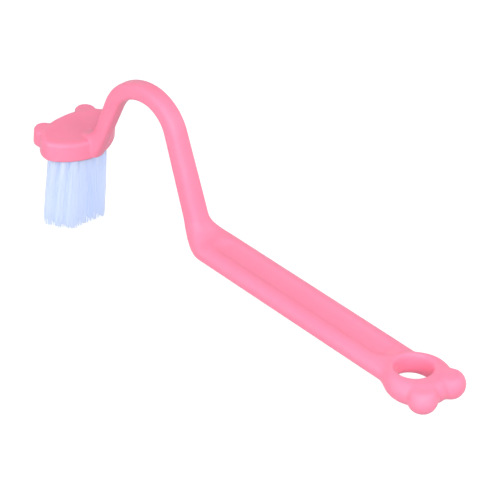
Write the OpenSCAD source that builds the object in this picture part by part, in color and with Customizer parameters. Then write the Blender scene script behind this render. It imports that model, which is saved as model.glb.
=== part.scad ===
// Pet toothbrush with a bent neck: one moulded body, bristle tufts and the flat metal anchors
// that hold each tuft in its hole. The origin is the middle of the hang hole, the brush lies
// along -X from it with the head at its far end, +Y runs across it, and the bristles point
// down, along -Z. The modules build it from the middle of the head's bristle face, and
// in_frame() moves each sub-part from there to the hang hole.

/* [Head] */
// Half the width of the head, across the brush
head_half_w = 17; // [15:0.1:20]
// From the middle of the head to its edge under the neck
head_front = 10.8; // [9:0.1:13]
// From the middle of the head to its edge between the ears
head_back = 10.6; // [9:0.1:13]
// Thickness of the head
head_t = 8.3; // [8:0.1:12]
// Rounding of the edge round the bristle face
face_edge_r = 1.2; // [0.6:0.1:2]
// Rounding of the edge round the top
top_edge_r = 1.7; // [0.8:0.1:2.4]
// Depth of the dish in the top
dish_depth = 0.3; // [0.1:0.1:1.2]
// Width of the slope from the rim down into the dish
dish_slope = 5; // [3:0.1:5.5]

/* [Ears] */
// Radius of an ear
ear_r = 4.1; // [3:0.1:5]
// Thickness of an ear
ear_t = 7; // [4:0.1:7]
// How far an ear's top lies below the rim of the head
ear_drop = 0.3; // [0.1:0.1:0.8]
// From the middle of the head back to the middle of an ear
ear_back = 8.2; // [6:0.1:9]
// From the middle of the head out to the middle of an ear
ear_side = 10.4; // [9:0.1:12]
// Rounding of an ear's edges
ear_edge_r = 0.7; // [0.5:0.1:1.6]

/* [Neck] */
// From the middle of the head to the neck's centreline, at the level of the bristle face
neck_foot = 8.5; // [8:0.1:10]
// Lean of the neck's front leg away from the vertical, in degrees
neck_lean = 19.1; // [10:1:30]
// Length of the front leg, from the level of the bristle face
front_leg = 30; // [25:0.5:40]
// Radius of the crown over the front leg
crown_front_r = 19.6; // [12:0.5:22]
// Radius of the crown over the back leg
crown_back_r = 15.9; // [14:0.5:26]
// Slope of the back leg below the horizontal, in degrees
back_slope = 65.8; // [55:1:75]
// Length of the back leg
back_leg = 33.6; // [26:0.5:40]
// Radius of the elbow between the back leg and the grip
elbow_r = 12.2; // [8:0.1:14]
// Thickness of the neck where it leaves the head
neck_thin = 5.2; // [4.5:0.1:7]
// Thickness of the neck where it reaches the elbow
neck_thick = 8.3; // [7:0.1:10]
// How far the neck's root spreads over the top of the head
root_spread = 4.4; // [1:0.1:5]
// Height over which that spread fades
root_height = 7; // [4:0.5:10]

/* [Grip] */
// From the end of the elbow to the middle of the hang hole
grip_len = 102.3; // [90:0.1:130]
// Width of the grip at the elbow
grip_w = 18.2; // [14:0.1:19]
// Width of the grip where it meets the hang ring
grip_end_w = 19.4; // [16:0.1:20]
// Thickness of the grip
grip_t = 7.7; // [6:0.1:8.5]
// Width of the shallow groove along the top of the grip
groove_w = 11.6; // [8:0.1:12]
// Width of the groove's flat floor
groove_floor_w = 5.8; // [4:0.1:7]
// Depth of the groove below the crest of the grip
groove_depth = 1.5; // [0.8:0.1:1.8]
// From the end of the elbow to the groove's floor
groove_front_gap = 3.4; // [3:0.1:12]
// From the groove's floor to the middle of the hang hole
groove_hole_gap = 13.9; // [13:0.1:24]

/* [Hang ring] */
// Radius of the hang hole
hole_r = 6.8; // [5:0.1:7]
// Length of the straight part of the hole, between its rounded lips
bore_len = 3; // [2:0.1:4]
// Width of a rounded lip of the hole
lip_w = 1.8; // [1:0.1:2.2]
// Outer radius of the ring
ring_r = 12.9; // [12:0.1:14]
// From the middle of the hole to the middle of the ring, along the brush
ring_shift = 2.8; // [1:0.1:3.5]
// Thickness of the ring
ring_t = 9.6; // [8.4:0.1:11]
// Width of the ring's rounded outer edge
ring_edge_w = 4.3; // [2:0.1:5]
// Radius of a bone-end knob on the ring
knob_r = 5.7; // [5:0.1:6]
// From the middle of the hole to the middle of a knob, along the brush
knob_out = 12; // [11:0.1:13]
// From the middle of the hole to the middle of a knob, across the brush
knob_side = 7.1; // [6:0.1:8]

/* [Bristles] */
// Radius of a tuft's hole in the head
tuft_hole_r = 1.3; // [1:0.05:1.4]
// Depth of a tuft's hole
tuft_hole_depth = 5; // [4:0.1:6]
// Radius of a tuft at its tip
tuft_tip_r = 1.8; // [1.4:0.05:1.85]
// Length of the bristles below the head
bristle_len = 31; // [20:0.5:40]
// Spread of the tips, as a share of the distance from the middle
tip_spread = 0.04; // [0:0.01:0.1]
// Distance between the tufts of a row, across the brush
tuft_pitch = 3.7; // [3.7:0.05:4.2]
// Distance between rows, along the brush
row_pitch = 3.2; // [3.2:0.05:3.6]
// Number of rows
row_count = 5; // [3:2:5]
// Number of tufts in the middle row; each row further out has one fewer
middle_row_tufts = 7; // [5:1:7]
// From the middle of the head back to the middle row
field_back = 0.6; // [0:0.1:1.2]
// Unevenness of the cut tips
tip_unevenness = 0.6; // [0.1:0.1:1]

/* [Anchors] */
// Thickness of an anchor
anchor_t = 0.35; // [0.25:0.05:0.5]
// Height of an anchor
anchor_h = 1.6; // [1.2:0.1:2]
// How far each end of an anchor bites into the wall of its hole
anchor_bite = 0.3; // [0.2:0.05:0.4]
// Depth of tuft folded over the anchor
fold_depth = 0.6; // [0.4:0.1:1]

/* [Hidden] */
// How full the head's outline is towards the neck and towards the ears: 2 would be an ellipse
front_fullness = 1.6;
back_fullness = 2.2;
// How full the sections of the neck and the grip are
neck_fullness = 3.2;
grip_fullness = 2.7;
// Clearance between a tuft's root and its hole
tuft_clearance = 0.02;
// Depth of the flutes between the strands on a tuft, as a share of its radius
flute_share = 0.07;
// Steps round an outline, round a section, round a quarter arc and along an arc of the neck
outline_steps = 56;
section_steps = 24;
edge_steps = 3;
ring_edge_step = 15;
arc_step = 7.5;
root_steps = 6;
// How much wider the neck's root gets across the brush, and its height over the bristle face
root_side = 1.8;
root_lift = 0.4;
// How early the neck thickens: 1 is evenly along it, less is sooner
neck_taper = 0.7;
// How far before the elbow the neck starts to widen into the grip
flare_lead = 1.5;
// How far the grip's end runs into the ring, short of the middle of the hole
grip_end_gap = 3;
// Overlap that makes a cut run clear through a surface, and a smaller one for shallow cuts
cut = 1;
small_cut = 0.3;

tuft_places = [
    for (row = [-floor(row_count / 2):floor(row_count / 2)])
        let (tufts = middle_row_tufts - abs(row))
            for (i = [0:tufts - 1])
                [row * row_pitch - field_back, (i - (tufts - 1) / 2) * tuft_pitch]
];
tuft_count = len(tuft_places);

function two_digits(i) = str(i < 10 ? "0" : "", i);
function tuft_name(i) = str("tuft_", two_digits(i));
function anchor_name(i) = str("anchor_", two_digits(i));

pink = [1, 0.61, 0.73];
bristle_white = [0.86, 0.9, 1];
anchor_silver = [0.75, 0.75, 0.77];

// A point of a rounded outline at angle a: fullness 2 gives an ellipse, more gives a fuller corner
function rounded(size, fullness, a) = sign(size) * size * sign(a) * pow(abs(a), 2 / fullness);
function full_outline(half_w, half_t, fullness, steps) = [
    for (i = [0:steps - 1])
        let (a = 360 * i / steps)
            [rounded(half_w, fullness, cos(a)), rounded(half_t, fullness, sin(a))]
];

// A solid through a list of rings with the same number of points each
module loft(rings) {
    steps = len(rings[0]);
    last = len(rings) - 1;
    sides = [
        for (k = [0:last - 1], i = [0:steps - 1])
            let (next = (i + 1) % steps)
                [k * steps + i, (k + 1) * steps + i, (k + 1) * steps + next, k * steps + next]
    ];
    first_cap = [for (i = [0:steps - 1]) i];
    last_cap = [for (i = [steps - 1:-1:0]) last * steps + i];
    polyhedron([for (ring = rings) each ring], concat(sides, [first_cap, last_cap]));
}

// ---- Head ----

function head_ring(inset, z) = [
    for (i = [0:outline_steps - 1])
        let (a = 360 * i / outline_steps)
            let (reach = cos(a) > 0 ? head_front : head_back)
                let (fullness = cos(a) > 0 ? front_fullness : back_fullness)
                    [rounded(reach - inset, fullness, cos(a)),
                     rounded(head_half_w - inset, fullness, sin(a)), z]
];

module head() {
    face_edge = [
        for (i = [0:edge_steps])
            let (a = 90 * i / edge_steps)
                head_ring(face_edge_r * (1 - sin(a)), face_edge_r * (1 - cos(a)))
    ];
    top_edge = [
        for (i = [0:edge_steps])
            let (a = 90 * i / edge_steps)
                head_ring(top_edge_r * (1 - cos(a)), head_t - top_edge_r * (1 - sin(a)))
    ];
    dish = [
        for (i = [1:edge_steps])
            let (u = i / edge_steps)
                head_ring(top_edge_r + dish_slope * u, head_t - dish_depth * (1 - cos(180 * u)) / 2)
    ];
    loft(concat(face_edge, top_edge, dish));
}

module ear(side) {
    profile = concat(
        [[0, 0]],
        [for (a = [-90:30:0]) [ear_r - ear_edge_r * (1 - cos(a)), ear_edge_r * (1 + sin(a))]],
        [for (a = [0:30:90]) [ear_r - ear_edge_r * (1 - cos(a)), ear_t - ear_edge_r * (1 - sin(a))]],
        [[0, ear_t]]
    );
    translate([-ear_back, side * ear_side, head_t - ear_drop - ear_t])
        rotate_extrude($fn = 48)
            polygon(profile);
}

// ---- Neck and grip: a path of [x, z, heading] in the brush's middle plane ----

function ahead(p, d) = [p.x + d * cos(p[2]), p.y + d * sin(p[2]), p[2]];
function turned(p, r, heading) =
    let (side = heading > p[2] ? 1 : -1)
        [p.x + side * r * (sin(heading) - sin(p[2])),
         p.y - side * r * (cos(heading) - cos(p[2])),
         heading];
function arc(p, r, heading) =
    let (steps = ceil(abs(heading - p[2]) / arc_step))
        [for (i = [1:steps]) turned(p, r, p[2] + (heading - p[2]) * i / steps)];

neck_start = [neck_foot, 0, 90 - neck_lean];
leg_top = ahead(neck_start, front_leg);
crest = turned(leg_top, crown_front_r, 0);
back_leg_top = turned(crest, crown_back_r, -back_slope);
elbow_start = ahead(back_leg_top, back_leg);
elbow_end = turned(elbow_start, elbow_r, 0);
grip_z = elbow_end.y;
hole_x = elbow_end.x + grip_len;
grip_end_x = hole_x - grip_end_gap;

// The stretch of the front leg over which its root spreads, and the neck's whole length
dish_z = head_t - dish_depth;
root_low = (dish_z - (neck_thin / 2 + root_spread) * sin(neck_lean)) / cos(neck_lean);
root_high = (dish_z + root_height - neck_thin / 2 * sin(neck_lean)) / cos(neck_lean);
crown_front_len = crown_front_r * PI * (90 - neck_lean) / 180;
crown_back_len = crown_back_r * PI * back_slope / 180;
neck_len = front_leg + crown_front_len + crown_back_len + back_leg;

function mix(a, b, u) = a + (b - a) * u;
function smooth(u) = u * u * (3 - 2 * u);

// The ring of the neck at path point p, with taper 0 at the head and 1 at the elbow, and
// spread 1 where the root meets the head's top
function neck_ring(p, taper, spread, shrink = 0) =
    let (t = mix(neck_thin, neck_thick, pow(taper, neck_taper)) - 2 * shrink)
        let (inner = root_spread * spread)
            placed_ring(p, t + inner, inner / 2, t + root_side * spread, neck_fullness);

// The ring where the neck widens into the grip, with blend 0 at the neck and 1 at the grip
function grip_ring(p, blend, w = grip_w) =
    placed_ring(
        p, mix(neck_thick, grip_t, blend), 0, mix(neck_thick, w, blend),
        mix(neck_fullness, grip_fullness, blend)
    );

// A section of thickness t, moved by shift along the path's normal, and width w
function placed_ring(p, t, shift, w, fullness) = [
    for (q = full_outline(w / 2, t / 2, fullness, section_steps))
        [p.x - sin(p[2]) * (q.y + shift), q.x, p.y + cos(p[2]) * (q.y + shift)]
];

// Where the root's rounded end starts, so that it stays just above the bristle face
root_start = neck_thin / 2 * tan(neck_lean) + root_lift;

module neck_and_grip() {
    root_end = [
        for (i = [0:edge_steps])
            let (a = 90 * i / edge_steps)
                let (along = root_start + face_edge_r * (1 - cos(a)))
                    neck_ring(ahead(neck_start, along), 0, 1, face_edge_r * (1 - sin(a)))
    ];
    root = [
        for (i = [0:root_steps])
            let (along = mix(root_low, root_high, i / root_steps))
                neck_ring(ahead(neck_start, along), along / neck_len, pow(1 - i / root_steps, 2.2))
    ];
    front_top = [neck_ring(leg_top, front_leg / neck_len, 0)];
    crown_front = [
        for (p = arc(leg_top, crown_front_r, 0))
            let (along = front_leg + crown_front_len * (leg_top[2] - p[2]) / leg_top[2])
                neck_ring(p, along / neck_len, 0)
    ];
    crown_back = [
        for (p = arc(crest, crown_back_r, -back_slope))
            let (along = front_leg + crown_front_len - crown_back_len * p[2] / back_slope)
                neck_ring(p, along / neck_len, 0)
    ];
    flare_len = flare_lead + elbow_r * PI * back_slope / 180;
    leg_end = [neck_ring(ahead(elbow_start, -flare_lead), 1 - flare_lead / neck_len, 0)];
    elbow_top = [grip_ring(elbow_start, smooth(flare_lead / flare_len))];
    elbow = [
        for (p = arc(elbow_start, elbow_r, 0))
            grip_ring(p, smooth(mix(flare_lead / flare_len, 1, 1 + p[2] / back_slope)))
    ];
    grip = [grip_ring([grip_end_x, grip_z, 0], 1, grip_end_w)];
    loft([
        for (rings = [root_end, root, front_top, crown_front, crown_back, leg_end])
            each rings,
        for (rings = [elbow_top, elbow, grip])
            each rings
    ]);
}

// A cutter that leaves the groove: a flat floor with sloping sides and round ends
module groove_cutter() {
    floor_r = groove_floor_w / 2;
    rise = groove_depth + small_cut;
    top_r = floor_r + (groove_w - groove_floor_w) / 2 * rise / groove_depth;
    floor_z = grip_z + grip_t / 2 - groove_depth;
    loft([groove_ring(floor_r, floor_z), groove_ring(top_r, floor_z + rise)]);
}

function groove_ring(r, z) =
    let (start_x = elbow_end.x + groove_front_gap + groove_floor_w / 2)
        let (end_x = hole_x - groove_hole_gap - groove_floor_w / 2)
            concat(
                [for (a = [-90:15:90]) [end_x + r * cos(a), r * sin(a), z]],
                [for (a = [90:15:270]) [start_x + r * cos(a), r * sin(a), z]]
            );

// ---- Hang ring ----

module hang_ring() {
    edge = [
        for (a = [-90:ring_edge_step:90])
            [ring_r - ring_edge_w * (1 - cos(a)), ring_t / 2 * sin(a)]
    ];
    translate([hole_x + ring_shift, 0, grip_z])
        rotate_extrude($fn = 96)
            polygon(concat([[0, -ring_t / 2]], edge, [[0, ring_t / 2]]));
}

module knob(side) {
    translate([hole_x + knob_out, side * knob_side, grip_z])
        sphere(r = knob_r, $fn = 48);
}

// A cutter that leaves the hang hole: a straight bore between two rounded lips
module hang_hole() {
    lip_h = (ring_t - bore_len) / 2 + small_cut;
    upper_lip = [
        for (a = [0:ring_edge_step:90])
            [hole_r + lip_w * (1 - cos(a)), bore_len / 2 + lip_h * sin(a)]
    ];
    lower_lip = [for (i = [len(upper_lip) - 1:-1:0]) [upper_lip[i].x, -upper_lip[i].y]];
    top = ring_t / 2 + cut;
    translate([hole_x, 0, grip_z])
        rotate_extrude($fn = 96)
            polygon(concat(
                [[0, -top], [hole_r + lip_w, -top]],
                lower_lip,
                upper_lip,
                [[hole_r + lip_w, top], [0, top]]
            ));
}

// ---- Tuft holes, tufts and anchors ----

module anchor_plate(place) {
    plate_len = 2 * (tuft_hole_r + anchor_bite);
    translate([
        place.x - plate_len / 2,
        place.y - anchor_t / 2,
        tuft_hole_depth - fold_depth - anchor_h
    ])
        cube([plate_len, anchor_t, anchor_h]);
}

module tuft_hole(place) {
    translate([place.x, place.y, -cut])
        cylinder(r = tuft_hole_r, h = tuft_hole_depth + cut, $fn = 32);
    anchor_plate(place);
}

// A small repeatable unevenness between -1 and 1
function uneven(place, i) = sin(place.x * 157 + place.y * 211 + i * 139);

function tuft_ring(place, z, r, ragged = 0) =
    let (steps = 12)
        let (spread = z < 0 ? 1 - tip_spread * z / bristle_len : 1)
            let (flute = z < 0 ? flute_share : 0)
                [for (i = [0:steps - 1])
                    let (a = 360 * i / steps)
                        let (strand_r = r * (1 - (i % 2) * flute))
                            [place.x * spread + strand_r * cos(a), place.y * spread + strand_r * sin(a),
                             z + ragged * uneven(place, i)]];

module tuft_shape(place) {
    root_r = tuft_hole_r - tuft_clearance;
    loft(concat(
        [tuft_ring(place, -bristle_len, tuft_tip_r * 0.45, tip_unevenness)],
        [tuft_ring(place, -bristle_len, tuft_tip_r, tip_unevenness)],
        [for (u = [0.8, 0.45, 0.15]) tuft_ring(place, -bristle_len * u, mix(root_r, tuft_tip_r, u))],
        [tuft_ring(place, 0, root_r)],
        [tuft_ring(place, tuft_hole_depth - tuft_clearance, root_r)]
    ));
}

module tuft(place) {
    color(bristle_white)
        in_frame() difference() {
            tuft_shape(place);
            anchor_plate(place);
        }
}

module anchor(place) {
    color(anchor_silver)
        in_frame() anchor_plate(place);
}

// ---- The sub-parts, each in the brush's frame ----

module in_frame() {
    translate([-hole_x, 0, -grip_z])
        children();
}

module moulded_body() {
    color(pink)
        in_frame() difference() {
            union() {
                head();
                ear(-1);
                ear(1);
                neck_and_grip();
                hang_ring();
                knob(-1);
                knob(1);
            }
            hang_hole();
            groove_cutter();
            for (place = tuft_places) tuft_hole(place);
        }
}

moulded_body();
for (i = [1:tuft_count]) {
    tuft(tuft_places[i - 1]);
    anchor(tuft_places[i - 1]);
}
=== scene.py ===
"""Looks of the bent-neck pet toothbrush.

The moulded body is rebuilt as one smooth blended surface on the sizes of the CAD part, with the
tuft holes cut into it, and each tuft becomes a bundle of separate filaments folded over its
anchor. The anchors keep their CAD solids and get a metal finish.
"""

import math

import bpy
import numpy as np
import openvdb
from mathutils import Matrix, Vector


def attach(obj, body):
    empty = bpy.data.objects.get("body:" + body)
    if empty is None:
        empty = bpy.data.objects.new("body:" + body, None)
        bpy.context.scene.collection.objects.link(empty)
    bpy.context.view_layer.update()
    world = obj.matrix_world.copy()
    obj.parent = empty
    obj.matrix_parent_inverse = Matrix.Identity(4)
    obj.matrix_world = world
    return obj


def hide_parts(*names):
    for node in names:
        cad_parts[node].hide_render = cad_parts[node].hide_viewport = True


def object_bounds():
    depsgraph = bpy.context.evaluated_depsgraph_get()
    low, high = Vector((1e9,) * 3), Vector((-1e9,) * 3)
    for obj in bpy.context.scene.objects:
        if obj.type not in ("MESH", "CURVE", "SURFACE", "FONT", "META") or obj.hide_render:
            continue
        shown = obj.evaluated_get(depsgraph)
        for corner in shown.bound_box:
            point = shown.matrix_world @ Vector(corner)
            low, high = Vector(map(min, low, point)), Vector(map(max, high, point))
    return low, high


MM = 0.001
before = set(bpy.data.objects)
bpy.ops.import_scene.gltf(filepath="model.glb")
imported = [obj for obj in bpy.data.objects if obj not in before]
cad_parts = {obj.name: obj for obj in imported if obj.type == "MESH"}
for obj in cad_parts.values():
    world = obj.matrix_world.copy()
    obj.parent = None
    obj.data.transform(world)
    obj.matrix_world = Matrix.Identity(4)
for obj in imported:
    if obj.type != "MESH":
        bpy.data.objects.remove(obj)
cad_low, cad_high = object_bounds()

# ---- Sizes in millimetres, as in the part's source, from the middle of the bristle face ----

HEAD_HALF_W, HEAD_FRONT, HEAD_BACK, HEAD_T = 17.0, 10.8, 10.6, 8.3
FRONT_FULLNESS, BACK_FULLNESS = 1.6, 2.2
FACE_EDGE_R, TOP_EDGE_R = 1.2, 1.7
DISH_DEPTH, DISH_SLOPE = 0.3, 5.0
EAR_R, EAR_T, EAR_DROP, EAR_BACK, EAR_SIDE, EAR_EDGE_R = 4.1, 7.0, 0.3, 8.2, 10.4, 1.0
NECK_FOOT, NECK_LEAN, FRONT_LEG = 8.5, 19.1, 30.0
CROWN_FRONT_R, CROWN_BACK_R, BACK_SLOPE, BACK_LEG, ELBOW_R = 19.6, 15.9, 65.8, 33.6, 12.2
NECK_THIN, NECK_THICK, NECK_TAPER, NECK_FULLNESS = 5.2, 8.3, 0.7, 3.2
ROOT_SPREAD, ROOT_SIDE, ROOT_HEIGHT, ROOT_LIFT, ROOT_FADE = 4.4, 1.8, 7.0, 0.4, 2.2
FLARE_LEAD = 1.5
GRIP_LEN, GRIP_W, GRIP_END_W, GRIP_T, GRIP_FULLNESS = 102.3, 18.2, 19.4, 7.7, 2.7
GRIP_END_GAP = 3.0
GROOVE_W, GROOVE_FLOOR_W, GROOVE_DEPTH = 11.6, 5.8, 1.5
GROOVE_FRONT_GAP, GROOVE_HOLE_GAP, SMALL_CUT = 3.4, 13.9, 0.3
HOLE_R, BORE_LEN, LIP_W = 6.8, 3.0, 1.8
RING_R, RING_SHIFT, RING_T, RING_EDGE_W = 12.9, 2.8, 9.6, 4.3
KNOB_R, KNOB_OUT, KNOB_SIDE = 5.7, 12.0, 7.1
TUFT_HOLE_R, TUFT_HOLE_DEPTH, BRISTLE_LEN = 1.3, 5.0, 31.0
TUFT_PITCH, ROW_PITCH, ROW_COUNT = 3.7, 3.2, 5
MIDDLE_ROW_TUFTS, FIELD_BACK = 7, 0.6
ANCHOR_T, FOLD_DEPTH = 0.35, 0.6

# ---- What is softer here than in the part's source, in millimetres ----

EAR_BLEND, ROOT_BLEND, RING_BLEND, KNOB_BLEND, KNOB_PAIR_BLEND = 0.5, 0.5, 1.6, 1.2, 2.4
LIP_BLEND, GROOVE_BLEND, GROOVE_FLOOR_BLEND = 0.5, 0.8, 1.1
KNOB_FLAT, KNOB_FLAT_BLEND = 4.5, 0.8  # half height of the flattened knobs

# ---- The middle line of the neck and the grip, in the plane y = 0 ----


def ahead(p, d):
    h = math.radians(p[2])
    return (p[0] + d * math.cos(h), p[1] + d * math.sin(h), p[2])


def turned(p, r, heading):
    """p after an arc of radius r to a new heading, and the arc's centre."""
    side = 1 if heading > p[2] else -1
    a, b = math.radians(p[2]), math.radians(heading)
    centre = (p[0] - side * r * math.sin(a), p[1] + side * r * math.cos(a))
    end = (
        p[0] + side * r * (math.sin(b) - math.sin(a)),
        p[1] - side * r * (math.cos(b) - math.cos(a)),
        heading,
    )
    return end, centre


def make_path():
    """Straight and curved stretches as dicts, each with the length already run at its start."""
    stretches = []
    run = 0.0

    def straight(p, length):
        nonlocal run
        stretches.append(dict(start=p, length=length, run=run))
        run += length
        return ahead(p, length)

    def curve(p, r, heading):
        nonlocal run
        end, centre = turned(p, r, heading)
        length = r * math.radians(abs(heading - p[2]))
        side = 1 if heading > p[2] else -1
        stretches.append(dict(start=p, length=length, run=run, r=r, centre=centre, side=side))
        run += length
        return end

    p = straight((NECK_FOOT, 0.0, 90 - NECK_LEAN), FRONT_LEG)
    p = curve(p, CROWN_FRONT_R, 0.0)
    p = curve(p, CROWN_BACK_R, -BACK_SLOPE)
    p = straight(p, BACK_LEG)
    neck_len = run
    p = curve(p, ELBOW_R, 0.0)
    elbow_end, elbow_run = p, run
    p = straight(p, GRIP_LEN - GRIP_END_GAP)
    return stretches, neck_len, elbow_run, elbow_end


PATH, NECK_LEN, ELBOW_RUN, ELBOW_END = make_path()
PATH_LEN = PATH[-1]["run"] + PATH[-1]["length"]
HOLE_X = ELBOW_END[0] + GRIP_LEN
GRIP_Z = ELBOW_END[1]
DISH_Z = HEAD_T - DISH_DEPTH
SIN_LEAN, COS_LEAN = math.sin(math.radians(NECK_LEAN)), math.cos(math.radians(NECK_LEAN))
ROOT_START = NECK_THIN / 2 * SIN_LEAN / COS_LEAN + ROOT_LIFT
ROOT_LOW = (DISH_Z - (NECK_THIN / 2 + ROOT_SPREAD) * SIN_LEAN) / COS_LEAN
ROOT_HIGH = (DISH_Z + ROOT_HEIGHT - NECK_THIN / 2 * SIN_LEAN) / COS_LEAN


def to_row(points):
    """Points in millimetres from the bristle face's middle, in metres in the row frame."""
    return (np.asarray(points, float) - (HOLE_X, 0.0, GRIP_Z)) * MM


# ---- The body as a distance field ----

TINY = 1e-6
TIE = 1e-9  # a stretch of the path has to be nearer by this to win over the one before it
HEAD_END_X = 26.0  # the head's fields are left out past here


def step(u):
    u = np.clip(u, 0.0, 1.0)
    return u * u * (3 - 2 * u)


def mix(a, b, u):
    return a + (b - a) * u


def joined(a, b, k):
    """The union of two fields, with a fillet about k wide."""
    h = np.maximum(k - np.abs(a - b), 0.0) / k
    return np.minimum(a, b) - h * h * k / 4


def cut(a, b, k):
    """Field a without field b, with its edges rounded over about k."""
    return -joined(-a, b, k)


def rounded_outline(u, v, a, b, n):
    """Distance from the outline |u/a|^n + |v/b|^n = 1, true close to it."""
    p, q = np.abs(u) / a, np.abs(v) / b
    g = np.maximum((p**n + q**n) ** (1 / n), TINY)
    slope = np.hypot((p / g) ** (n - 1) / a, (q / g) ** (n - 1) / b)
    return (g - 1) / slope


def rounded(side, over, r):
    """Where two fields overlap, with the edge between them rounded by r."""
    side, over = side + r, over + r
    outside = np.hypot(np.maximum(side, 0), np.maximum(over, 0))
    return np.minimum(np.maximum(side, over), 0) + outside - r


def plate(outline, z, low, high, r):
    """A plate of that outline between two heights, with its edges rounded by r."""
    return rounded(outline, np.abs(z - (low + high) / 2) - (high - low) / 2, r)


def rounded_edge(outline, height, width, half_t):
    """A plate whose edge is a quarter ellipse of that width and half thickness."""
    across = np.maximum(outline + width, 0.0)
    p, q = across / width, height / half_t
    g = np.maximum(np.hypot(p, q), TINY)
    slope = np.hypot(p / g / width, q / g / half_t)
    return (g - 1) / np.maximum(slope, TINY)


def head_field(x, y, z):
    reach = np.where(x > 0, HEAD_FRONT, HEAD_BACK)
    fullness = np.where(x > 0, FRONT_FULLNESS, BACK_FULLNESS)
    outline = rounded_outline(x, y, reach, HEAD_HALF_W, fullness)
    top = HEAD_T - DISH_DEPTH * step((-outline - TOP_EDGE_R) / DISH_SLOPE)
    return plate(outline, z, 0.0, top, np.where(z < HEAD_T / 2, FACE_EDGE_R, TOP_EDGE_R))


def ear_field(x, y, z):
    outline = np.hypot(x + EAR_BACK, np.abs(y) - EAR_SIDE) - EAR_R
    top = HEAD_T - EAR_DROP
    return plate(outline, z, top - EAR_T, top, EAR_EDGE_R)


def along_path(x, z):
    """For points of the middle plane: the length run, the offset to the path's left and how far
    they lie beyond its ends."""
    best = None
    for s in PATH:
        h0 = math.radians(s["start"][2])
        if "r" in s:
            dx, dz = x - s["centre"][0], z - s["centre"][1]
            turn = (np.arctan2(dz, dx) + s["side"] * math.pi / 2 - h0) * s["side"]
            turn = (turn + math.pi) % (2 * math.pi) - math.pi
            far = np.hypot(dx, dz)
            across = -s["side"] * (far - s["r"])
            ran = turn * s["r"]
        else:
            dx, dz = x - s["start"][0], z - s["start"][1]
            ran = dx * math.cos(h0) + dz * math.sin(h0)
            across = -dx * math.sin(h0) + dz * math.cos(h0)
        inside = np.clip(ran, 0.0, s["length"])
        beyond = np.abs(ran - inside)
        gap = np.hypot(across, beyond)
        found = (gap, inside + s["run"], across, beyond)
        if best is None:
            best = found
        else:
            nearer = gap < best[0] - TIE
            best = tuple(np.where(nearer, f, b) for f, b in zip(found, best))
    return best[1], best[2], best[3]


def neck_field(x, y, z):
    run, across, beyond = along_path(x, z)
    spread = (1 - np.clip((run - ROOT_LOW) / (ROOT_HIGH - ROOT_LOW), 0, 1)) ** ROOT_FADE
    thick = mix(NECK_THIN, NECK_THICK, np.clip(run / NECK_LEN, 0, 1) ** NECK_TAPER)
    inner = ROOT_SPREAD * spread
    flare_start = NECK_LEN - FLARE_LEAD
    flare = step((run - flare_start) / (ELBOW_RUN - flare_start))
    grip_w = mix(GRIP_W, GRIP_END_W, np.clip((run - ELBOW_RUN) / GRIP_LEN, 0, 1))
    half_t = (mix(thick, GRIP_T, flare) + inner) / 2
    half_w = (mix(thick, grip_w, flare) + ROOT_SIDE * spread) / 2
    fullness = mix(NECK_FULLNESS, GRIP_FULLNESS, flare)
    section = rounded_outline(across - inner / 2, y, half_t, half_w, fullness)
    end = np.maximum(ROOT_START - run, run - PATH_LEN) + beyond
    return rounded(section, end, FACE_EDGE_R)


def groove_field(x, y, z):
    """A flat-floored pocket with sloping sides and round ends, open at the top."""
    floor_r = GROOVE_FLOOR_W / 2
    start_x = ELBOW_END[0] + GROOVE_FRONT_GAP + floor_r
    end_x = HOLE_X - GROOVE_HOLE_GAP - floor_r
    across = np.hypot(x - np.clip(x, start_x, end_x), y) - floor_r
    slope = GROOVE_DEPTH / ((GROOVE_W - GROOVE_FLOOR_W) / 2)
    floor_z = GRIP_Z + GRIP_T / 2 - GROOVE_DEPTH
    wall = (slope * across - (z - floor_z)) / math.hypot(slope, 1)
    pocket = -joined(-wall, z - floor_z, GROOVE_FLOOR_BLEND)
    return np.maximum(pocket, z - floor_z - GROOVE_DEPTH - SMALL_CUT)


def ring_field(x, y, z):
    """The pad round the hang hole, with its two knobs."""
    z = z - GRIP_Z
    outline = np.hypot(x - HOLE_X - RING_SHIFT, y) - RING_R
    ring = rounded_edge(outline, np.abs(z), RING_EDGE_W, RING_T / 2)
    out = (x - HOLE_X - KNOB_OUT) ** 2 + z**2
    above = KNOB_FLAT - np.abs(z)
    near, far = (
        cut(np.sqrt(out + (y + side * KNOB_SIDE) ** 2) - KNOB_R, above, KNOB_FLAT_BLEND)
        for side in (1, -1)
    )
    return joined(ring, joined(near, far, KNOB_PAIR_BLEND), KNOB_BLEND)


def hole_field(x, y, z):
    """Less than nothing inside the bore and its rounded lips."""
    rho = np.hypot(x - HOLE_X, y)
    land = BORE_LEN / 2
    lip_h = RING_T / 2 - land
    up = np.maximum(np.abs(z - GRIP_Z) - land, 0)
    lip = rounded_edge(HOLE_R - rho, up, LIP_W, lip_h)
    return np.maximum(-lip, rho - HOLE_R - LIP_W)


def body_field(x, y, z):
    field = neck_field(x, y, z)
    by_head = x < HEAD_END_X
    if by_head.any():
        at = (x[by_head], y[by_head], z[by_head])
        head = joined(head_field(*at), ear_field(*at), EAR_BLEND)
        field[by_head] = joined(field[by_head], head, ROOT_BLEND)
    by_grip = x > ELBOW_END[0] - ELBOW_R
    if by_grip.any():
        at = (x[by_grip], y[by_grip], z[by_grip])
        grip = joined(field[by_grip], ring_field(*at), RING_BLEND)
        grip = cut(grip, hole_field(*at), LIP_BLEND)
        field[by_grip] = cut(grip, groove_field(*at), GROOVE_BLEND)
    return field


FIELD_REACH = 3.0  # the grid holds no distance above this
MOVES, LONGEST_MOVE = 3, 0.3  # how often and how far the corners move on to the surface
PROBE = 0.02  # half the step over which the field's slope is taken
LEAST_SLOPE_SQUARED = 0.2


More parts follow.
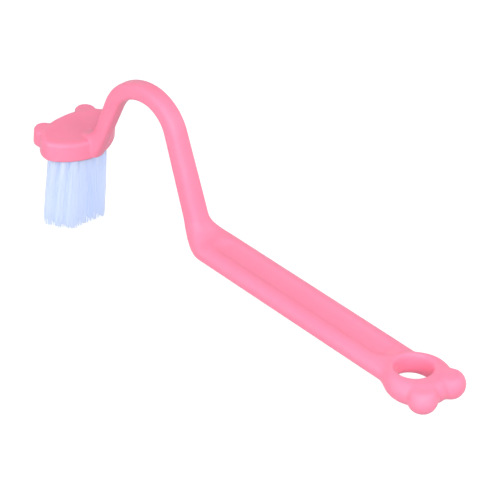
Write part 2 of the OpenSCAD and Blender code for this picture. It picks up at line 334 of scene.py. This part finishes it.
def field_mesh(name, voxel, boxes):
    """A quad mesh of the body's surface: a grid of half the body, mirrored, made into quads,
    each of whose corners is then moved on to the exact surface."""
    low = np.min([b[0] for b in boxes], 0)
    high = np.max([b[1] for b in boxes], 0)
    size = np.ceil((high - low) / voxel).astype(int) + 1
    size[1] = math.ceil(high[1] / voxel) + 1
    grid = np.full(size, FIELD_REACH, np.float32)
    for b_low, b_high in boxes:
        first = np.floor((np.array(b_low) - low) / voxel).astype(int)
        last = np.minimum(np.ceil((np.array(b_high) - low) / voxel).astype(int) + 1, size)
        first[1], last[1] = 0, size[1]
        ax = [low[0] + voxel * np.arange(first[0], last[0]), voxel * np.arange(size[1])]
        ax.append(low[2] + voxel * np.arange(first[2], last[2]))
        x, y, z = (c.ravel() for c in np.meshgrid(*ax, indexing="ij"))
        part = body_field(x, y, z).reshape([len(a) for a in ax])
        held = np.clip(part, -FIELD_REACH, FIELD_REACH)
        grid[first[0] : last[0], :, first[2] : last[2]] = held
    both = np.concatenate([grid[:, :0:-1], grid], 1)
    vdb = openvdb.FloatGrid(FIELD_REACH)
    vdb.copyFromArray(np.ascontiguousarray(both))
    corners, quads = vdb.convertToQuads(0.0)
    corners = corners.astype(float) * voxel
    corners += (low[0], -voxel * (size[1] - 1), low[2])
    for _ in range(MOVES):
        corners = on_surface(corners)
    mesh = bpy.data.meshes.new(name)
    mesh.from_pydata(to_row(corners).tolist(), [], quads[:, ::-1].tolist())
    mesh.validate()
    return mesh


def on_surface(points):
    """Points moved along the field's slope on to the surface."""
    x, y, z = points.T
    here = body_field(x, y, z)
    slope = np.stack(
        [
            body_field(x + dx, y + dy, z + dz) - body_field(x - dx, y - dy, z - dz)
            for dx, dy, dz in np.eye(3) * PROBE
        ],
        1,
    ) / (2 * PROBE)
    square = np.maximum((slope**2).sum(1), LEAST_SLOPE_SQUARED)
    move = -slope * (here / square)[:, None]
    return points + np.clip(move, -LONGEST_MOVE, LONGEST_MOVE)


# ---- Making and finishing objects ----


def add_object(name, mesh):
    obj = bpy.data.objects.new(name, mesh)
    bpy.context.scene.collection.objects.link(obj)
    return obj


def tube_mesh(name, paths, radii, sides):
    """One mesh of closed tubes. All paths have the same number of points; radii go with them."""
    paths = np.asarray(paths)
    n, k = paths.shape[:2]
    ahead_of = np.gradient(paths, axis=1)
    ahead_of /= np.linalg.norm(ahead_of, axis=2, keepdims=True)
    across = np.broadcast_to(np.array([1.0, 0, 0]), paths.shape)
    across = across - (across * ahead_of).sum(2, keepdims=True) * ahead_of
    across /= np.linalg.norm(across, axis=2, keepdims=True)
    other = np.cross(ahead_of, across)
    angle = 2 * np.pi * np.arange(sides) / sides
    ring = (
        across[:, :, None] * np.cos(angle)[:, None] + other[:, :, None] * np.sin(angle)[:, None]
    )
    points = paths[:, :, None] + ring * np.asarray(radii)[:, :, None, None]
    corner = np.arange(n * k * sides).reshape(n, k, sides)
    after = np.roll(corner, -1, 2)
    quads = np.stack([corner[:, :-1], after[:, :-1], after[:, 1:], corner[:, 1:]], -1)
    faces = quads.reshape(-1, 4).tolist()
    faces += corner[:, 0, ::-1].tolist() + corner[:, -1].tolist()
    mesh = bpy.data.meshes.new(name)
    mesh.from_pydata(to_row(points.reshape(-1, 3)).tolist(), [], faces)
    mesh.shade_smooth()
    return mesh


# ---- Materials ----

NOISE_LOW, NOISE_HIGH = 0.3, 0.7  # nearly all of a noise texture lies between these
PINK_TONES = ((1.0, 0.245, 0.388), (1.0, 0.265, 0.408))
NYLON_TONES = ((0.68, 0.755, 0.92), (0.73, 0.795, 0.92))
METAL_TONES = ((0.52, 0.52, 0.54), (0.66, 0.66, 0.68))
FLOOR_TONES = ((0.54, 0.54, 0.54), (0.56, 0.56, 0.56))
FLOOR_BOUNCE = (0.35, 0.35, 0.35)
FLOOR_GLOW = 0.6  # brings the floor up to white where it is seen
WORLD_LIGHT = 0.43


def new_material(name):
    material = bpy.data.materials.new(name)
    material.use_nodes = True
    nodes = material.node_tree.nodes
    nodes.clear()
    shader = nodes.new("ShaderNodeBsdfPrincipled")
    output = nodes.new("ShaderNodeOutputMaterial")
    material.node_tree.links.new(shader.outputs[0], output.inputs[0])
    return material, material.node_tree, shader


def set_inputs(shader, values):
    for name, value in values.items():
        shader.inputs[name].default_value = value


def noise(tree, scale, detail=2.0, stretch=(1, 1, 1)):
    """A noise texture on the object's own coordinates, at a scale given per metre."""
    place = tree.nodes.new("ShaderNodeTexCoord")
    mapping = tree.nodes.new("ShaderNodeMapping")
    mapping.inputs["Scale"].default_value = stretch
    texture = tree.nodes.new("ShaderNodeTexNoise")
    texture.inputs["Scale"].default_value = scale
    texture.inputs["Detail"].default_value = detail
    tree.links.new(place.outputs["Object"], mapping.inputs[0])
    tree.links.new(mapping.outputs[0], texture.inputs["Vector"])
    return texture.outputs["Fac"]


def between_tones(tree, value, tones):
    """The noise's value as a colour between two tones."""
    node = tree.nodes.new("ShaderNodeValToRGB")
    ends = node.color_ramp.elements
    for end, position, tone in zip(ends, (NOISE_LOW, NOISE_HIGH), tones):
        end.position = position
        end.color = (*tone, 1)
    tree.links.new(value, node.inputs[0])
    return node.outputs[0]


def spread_value(tree, value, low, high):
    """The noise's value stretched to run from low to high."""
    node = tree.nodes.new("ShaderNodeMapRange")
    node.inputs["From Min"].default_value = NOISE_LOW
    node.inputs["From Max"].default_value = NOISE_HIGH
    node.inputs["To Min"].default_value = low
    node.inputs["To Max"].default_value = high
    tree.links.new(value, node.inputs["Value"])
    return node.outputs[0]


def bump(tree, value, height):
    """Grain of that height, in metres."""
    node = tree.nodes.new("ShaderNodeBump")
    node.inputs["Strength"].default_value = 1.0
    node.inputs["Distance"].default_value = height
    tree.links.new(value, node.inputs["Height"])
    return node.outputs[0]


def pink_plastic():
    material, tree, shader = new_material("pink_plastic")
    flow = noise(tree, scale=38.0, detail=3.0, stretch=(0.35, 1, 1))
    grain = noise(tree, scale=900.0)
    tree.links.new(between_tones(tree, flow, PINK_TONES), shader.inputs["Base Color"])
    tree.links.new(spread_value(tree, grain, low=0.38, high=0.46), shader.inputs["Roughness"])
    tree.links.new(bump(tree, grain, height=0.02 * MM), shader.inputs["Normal"])
    set_inputs(
        shader,
        {
            "IOR": 1.49,
            "Specular IOR Level": 0.25,
            "Subsurface Weight": 0.25,
            "Subsurface Radius": (1.0, 0.25, 0.35),
            "Subsurface Scale": 2.5 * MM,
        },
    )
    return material


def nylon():
    material, tree, shader = new_material("bristle_nylon")
    strands = noise(tree, scale=420.0, detail=1.0, stretch=(1, 1, 0.04))
    tree.links.new(between_tones(tree, strands, NYLON_TONES), shader.inputs["Base Color"])
    tree.links.new(spread_value(tree, strands, low=0.4, high=0.55), shader.inputs["Roughness"])
    set_inputs(
        shader,
        {
            "IOR": 1.53,
            "Sheen Weight": 1.0,
            "Sheen Roughness": 0.7,
            "Sheen Tint": (0.6, 0.72, 1.0, 1),
        },
    )
    return material


def anchor_metal():
    material, tree, shader = new_material("anchor_metal")
    brushed = noise(tree, scale=700.0, stretch=(0.1, 1, 1))
    tree.links.new(between_tones(tree, brushed, METAL_TONES), shader.inputs["Base Color"])
    tree.links.new(spread_value(tree, brushed, low=0.25, high=0.4), shader.inputs["Roughness"])
    set_inputs(shader, {"Metallic": 1.0})
    return material


def seen_share(tree, share):
    """The second number of share for camera, glossy and transmission rays, else the first."""
    path = tree.nodes.new("ShaderNodeLightPath")
    total = path.outputs["Is Camera Ray"]
    for name in ("Is Glossy Ray", "Is Transmission Ray"):
        either = tree.nodes.new("ShaderNodeMath")
        either.operation = "MAXIMUM"
        tree.links.new(total, either.inputs[0])
        tree.links.new(path.outputs[name], either.inputs[1])
        total = either.outputs[0]
    node = tree.nodes.new("ShaderNodeMapRange")
    node.inputs["To Min"].default_value, node.inputs["To Max"].default_value = share
    tree.links.new(total, node.inputs["Value"])
    return node.outputs[0]


def floor_finish():
    """White with a soft shadow where the camera, a gloss or glass sees it, but greyer in the
    light it throws back, as the brush in the photograph gets little light from below."""
    material, tree, shader = new_material("floor_pale")
    seen = between_tones(tree, noise(tree, scale=6.0), FLOOR_TONES)
    blend = tree.nodes.new("ShaderNodeMix")
    blend.data_type = "RGBA"
    blend.inputs["A"].default_value = (*FLOOR_BOUNCE, 1)
    tree.links.new(seen_share(tree, (0.0, 1.0)), blend.inputs["Factor"])
    tree.links.new(seen, blend.inputs["B"])
    tree.links.new(blend.outputs["Result"], shader.inputs["Base Color"])
    glow = seen_share(tree, (0.0, FLOOR_GLOW))
    tree.links.new(glow, shader.inputs["Emission Strength"])
    set_inputs(
        shader,
        {"Roughness": 0.9, "Specular IOR Level": 0.0, "Emission Color": (1, 1, 1, 1)},
    )
    return material


PINK, NYLON, METAL = pink_plastic(), nylon(), anchor_metal()

# ---- The moulded body ----

TUFT_PLACES = [
    (row * ROW_PITCH - FIELD_BACK, (i - (MIDDLE_ROW_TUFTS - abs(row) - 1) / 2) * TUFT_PITCH)
    for row in range(-(ROW_COUNT // 2), ROW_COUNT // 2 + 1)
    for i in range(MIDDLE_ROW_TUFTS - abs(row))
]
VOXEL, QUICK_VOXEL = 0.5, 0.8
PAST_ELBOW, BELOW_GRIP, CROWN_TOP = 4.0, 8.0, 48.0  # the sampled box round head and neck
HOLE_SIDES = 32
CUTTER_START = -1.0  # how far the tuft holes' cutter stands out of the bristle face
SHARP_ANGLE = 40.0


def hole_cutter():
    """Prisms that cut the blind holes of all tufts."""
    angle = 2 * np.pi * np.arange(HOLE_SIDES) / HOLE_SIDES
    points, faces = [], []
    for x, y in TUFT_PLACES:
        rim = [(x + TUFT_HOLE_R * math.cos(a), y + TUFT_HOLE_R * math.sin(a)) for a in angle]
        low = len(points)
        high = low + HOLE_SIDES
        points += [(*p, CUTTER_START) for p in rim] + [(*p, TUFT_HOLE_DEPTH) for p in rim]
        for j in range(HOLE_SIDES):
            k = (j + 1) % HOLE_SIDES
            faces.append((low + j, low + k, high + k, high + j))
        faces.append(tuple(reversed(range(low, high))))
        faces.append(tuple(range(high, high + HOLE_SIDES)))
    mesh = bpy.data.meshes.new("holes")
    mesh.from_pydata(to_row(points).tolist(), [], faces)
    return add_object("holes", mesh)


def make_body():
    voxel = VOXEL
    edge = 2 * voxel
    neck_end = ELBOW_END[0] + PAST_ELBOW
    half_w = HEAD_HALF_W + edge
    grip_end = HOLE_X + KNOB_OUT + KNOB_R + edge
    boxes = [
        ((-EAR_BACK - EAR_R - edge, 0, GRIP_Z - BELOW_GRIP), (neck_end, half_w, CROWN_TOP)),
        ((neck_end, 0, GRIP_Z - KNOB_R - edge), (grip_end, half_w, GRIP_Z + KNOB_R + edge)),
    ]
    body = add_object("brush_body", field_mesh("brush_body", voxel, boxes))
    cutter = hole_cutter()
    holes = body.modifiers.new("holes", "BOOLEAN")
    holes.operation = "DIFFERENCE"
    holes.solver = "EXACT"
    holes.object = cutter
    cut_mesh = bpy.data.meshes.new_from_object(
        body.evaluated_get(bpy.context.evaluated_depsgraph_get())
    )
    body.modifiers.clear()
    bpy.data.objects.remove(cutter)
    body.data = cut_mesh
    cut_mesh.name = "brush_body"
    cut_mesh.shade_smooth()
    cut_mesh.set_sharp_from_angle(angle=math.radians(SHARP_ANGLE))
    cut_mesh.materials.clear()
    cut_mesh.materials.append(PINK)
    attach(body, "root")
    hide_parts("moulded_body")
    return body


body = make_body()

# ---- The tufts: filaments folded over the anchor ----

STRAND_R, STRAND_PITCH, STRAND_SIDES = 0.12, 0.27, 5
WALL_GAP, ANCHOR_GAP = 0.03, 0.01  # clear of the hole's wall and of the anchor's side
OUT_STEPS = 7
TIP_RING = 0.985  # last full ring before a strand's tip, as a share of its length
TIP_THIN = 0.55  # radius at the very tip, as a share of the strand's
OPENING_POWER = 2.4  # how soon below the face a tuft has opened
FOLD_STEPS = 2
FOLD_FOOT, FOLD_GAP, FOLD_SPREAD = 0.35, 0.02, 0.2  # the folds, below and over the anchor's top
CLUMPS = 5  # small groups that the tips of one tuft gather into
GATHER_FROM, GATHER_POWER, GATHER_SHARE = 0.7, 1.5, 0.2  # where and how far they gather
CLUMP_SHORT = 0.6  # most that a clump is cut short
TIP_SPLAY = (0.12, 0.10)  # how far the tips lean out, as a share of the tuft's place
TIP_CELL = (2.1, 2.5)  # half width of a tuft's tips along x and y
TIP_REACH = (11.7, 10.9)  # how far the trimmed block of tips reaches, near and far side
TRIM_SLANT = (0.72, 0.69)  # x and y of the direction in which the trim measures that
EXTRA_LEN = 0.4  # makes up for what the random cuts take off
LEAN_SPREAD, TIP_SPREAD, TRIM_SPREAD, BOW_SPREAD, LEN_SPREAD = 0.1, 0.2, 0.1, 0.07, 0.3
TUFT_SEED = 4100  # each tuft's own random numbers start from this and its number


def strand_roots():
    """Places of the strands on one side of the anchor, on a close-packed grid in the hole."""
    room = TUFT_HOLE_R - STRAND_R - WALL_GAP
    first = ANCHOR_T / 2 + STRAND_R + ANCHOR_GAP
    cells = 2 * math.ceil(TUFT_HOLE_R / STRAND_PITCH)
    roots = []
    for j in range(cells):
        y = first + j * STRAND_PITCH * math.sqrt(3) / 2
        for i in range(-cells, cells + 1):
            x = (i + (j % 2) / 2) * STRAND_PITCH
            if math.hypot(x, y) <= room:
                roots.append((x, y))
    return np.array(roots)


ROOTS = strand_roots()


def tip_limit(x, far):
    """Half width of the trimmed block of tips, which narrows to both ends."""
    return (TIP_REACH[far] - TRIM_SLANT[0] * np.abs(x)) / TRIM_SLANT[1]


def strand_sides(number, centre):
    """Paths of a tuft's strands on both sides of the anchor, from the tips up to the face."""
    random = np.random.default_rng(TUFT_SEED + number)
    n = len(ROOTS)
    out = np.append(1.0, np.linspace(TIP_RING, 0.0, OUT_STEPS - 1))
    opened = (1 - (1 - out) ** OPENING_POWER)[:, None]
    near_tip = np.clip((out - GATHER_FROM) / (1 - GATHER_FROM), 0, 1)
    gathered = (near_tip**GATHER_POWER)[:, None]
    tuft_lean = random.normal(0, LEAN_SPREAD, 2)
    clumps = random.uniform(-1, 1, (CLUMPS, 2)) * TIP_CELL
    clump_short = random.uniform(0, CLUMP_SHORT, CLUMPS)
    sides = []
    for sign in (1, -1):
        root = ROOTS * (1, sign)
        squared = root / np.abs(root).max(1, keepdims=True) * np.hypot(*root.T)[:, None]
        tip = squared / TUFT_HOLE_R * TIP_CELL + random.normal(0, TIP_SPREAD, (n, 2))
        nearest = np.linalg.norm(tip[:, None] - clumps, axis=2).argmin(1)
        gather = (clumps[nearest] - tip) * GATHER_SHARE
        tip += centre * TIP_SPLAY + tuft_lean
        x, y = (tip + centre).T
        beyond = np.abs(y) - tip_limit(x, int(centre[1] > 0))
        trimmed = np.maximum(beyond + np.abs(random.normal(0, TRIM_SPREAD, n)), 0)
        tip[:, 1] -= np.sign(centre[1]) * trimmed
        bow = random.normal(0, BOW_SPREAD, (n, 2))
        short = clump_short[nearest] + np.abs(random.normal(0, LEN_SPREAD, n))
        flat = (
            root[:, None]
            + (tip - root)[:, None] * opened
            + gather[:, None] * gathered
            + bow[:, None] * np.sin(np.pi * out)[:, None]
        )
        z = -(BRISTLE_LEN + EXTRA_LEN - short)[:, None] * out
        sides.append(np.concatenate([flat + centre, z[:, :, None]], 2))
    return sides


def strand_folds(centre):
    """Paths of a tuft's strands inside the head, from one side of the anchor to the other."""
    foot = TUFT_HOLE_DEPTH - FOLD_DEPTH - FOLD_FOOT
    y0 = ROOTS[:, 1]
    spread = (y0 - y0.min()) / np.ptp(y0) * FOLD_SPREAD
    top = TUFT_HOLE_DEPTH - FOLD_DEPTH + STRAND_R + FOLD_GAP + spread
    fold = []
    for a in np.linspace(0, np.pi, FOLD_STEPS + 2):
        x, y = ROOTS[:, 0] + centre[0], y0 * math.cos(a) + centre[1]
        fold.append(np.stack([x, y, foot + (top - foot) * math.sin(a)], 1))
    return np.stack(fold, 1)


def make_tuft(number, place):
    centre = np.array(place)
    down, up = strand_sides(number, centre)
    paths = np.concatenate([down, strand_folds(centre), up[:, ::-1]], 1)
    radii = np.full(paths.shape[:2], STRAND_R)
    radii[:, [0, -1]] *= TIP_THIN
    name = f"tuft_{number:02d}"
    mesh = tube_mesh(f"{name}_strands", paths, radii, STRAND_SIDES)
    mesh.materials.append(NYLON)
    tuft = add_object(f"{name}_strands", mesh)
    tuft.visible_shadow = False  # real filaments pass light on, and opaque ones came out dark
    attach(tuft, "root")
    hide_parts(name)
    return tuft


tufts = [make_tuft(i + 1, place) for i, place in enumerate(TUFT_PLACES)]

for node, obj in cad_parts.items():
    if node.startswith("anchor_"):
        for material_slot in obj.material_slots:
            material_slot.material = METAL

# ---- Floor, light and camera ----

FLOOR_HALF = 6.0  # metres
floor_z = cad_low[2]
floor_mesh = bpy.data.meshes.new("floor")
floor_mesh.from_pydata(
    [(x * FLOOR_HALF, y * FLOOR_HALF, floor_z) for x, y in ((-1, -1), (1, -1), (1, 1), (-1, 1))],
    [],
    [(0, 1, 2, 3)],
)
floor_mesh.materials.append(floor_finish())
add_object("floor", floor_mesh)

AIM = Vector((-0.08485, 0.0, 0.00842))  # what the camera and the lamps point at


def add_light(name, direction, distance, size, power):
    data = bpy.data.lights.new(name, "AREA")
    data.shape = "DISK"
    data.size = size
    data.energy = power
    light = bpy.data.objects.new(name, data)
    bpy.context.scene.collection.objects.link(light)
    towards = Vector(direction).normalized()
    light.location = AIM + towards * distance
    light.rotation_euler = towards.to_track_quat("Z", "Y").to_euler()


# Name, direction from the brush, distance and size in metres, power in watts.
LAMPS = (
    ("key", (0.56, -0.66, 0.50), 1.6, 1.0, 13.5),
    ("side", (0.77, -0.01, 0.64), 0.6, 0.4, 1.4),
    ("low", (0.32, -0.93, 0.19), 1.6, 0.9, 4.4),
    ("left", (-0.30, -0.88, 0.36), 0.34, 0.3, 0.3),
    ("back", (0.25, 0.90, 0.35), 1.6, 0.9, 3.2),
    ("rear", (-0.88, 0.43, 0.20), 1.6, 0.9, 2.0),
)
for lamp in LAMPS:
    add_light(*lamp)

world = bpy.data.worlds.new("studio")
world.use_nodes = True
background = world.node_tree.nodes["Background"]
background.inputs["Color"].default_value = (1, 1, 1, 1)
world.node_tree.links.new(
    seen_share(world.node_tree, (WORLD_LIGHT, 1.0)), background.inputs["Strength"]
)
bpy.context.scene.world = world

CAMERA_AZIMUTH, CAMERA_ELEVATION, CAMERA_ROLL = -46.44, 34.81, 4.49
CAMERA_DISTANCE = 1.63026
CAMERA_LENS, CAMERA_SENSOR = 319.40, 36.0  # millimetres, fitted to the photograph


def make_camera():
    data = bpy.data.cameras.new("camera")
    data.sensor_width = CAMERA_SENSOR
    data.lens = CAMERA_LENS
    data.clip_start, data.clip_end = 0.05, 50.0
    az, el = math.radians(CAMERA_AZIMUTH), math.radians(CAMERA_ELEVATION)
    back = Vector((math.cos(el) * math.cos(az), math.cos(el) * math.sin(az), math.sin(el)))
    right = Vector((-math.sin(az), math.cos(az), 0))
    up = back.cross(right)
    roll = math.radians(CAMERA_ROLL)
    right, up = (
        right * math.cos(roll) + up * math.sin(roll),
        up * math.cos(roll) - right * math.sin(roll),
    )
    camera = bpy.data.objects.new("camera", data)
    bpy.context.scene.collection.objects.link(camera)
    turn = Matrix((right, up, back)).transposed().to_4x4()
    camera.matrix_world = Matrix.Translation(AIM + back * CAMERA_DISTANCE) @ turn
    bpy.context.scene.camera = camera
    return camera


camera = make_camera()
bpy.context.scene.view_settings.view_transform = "Standard"
bpy.context.view_layer.update()
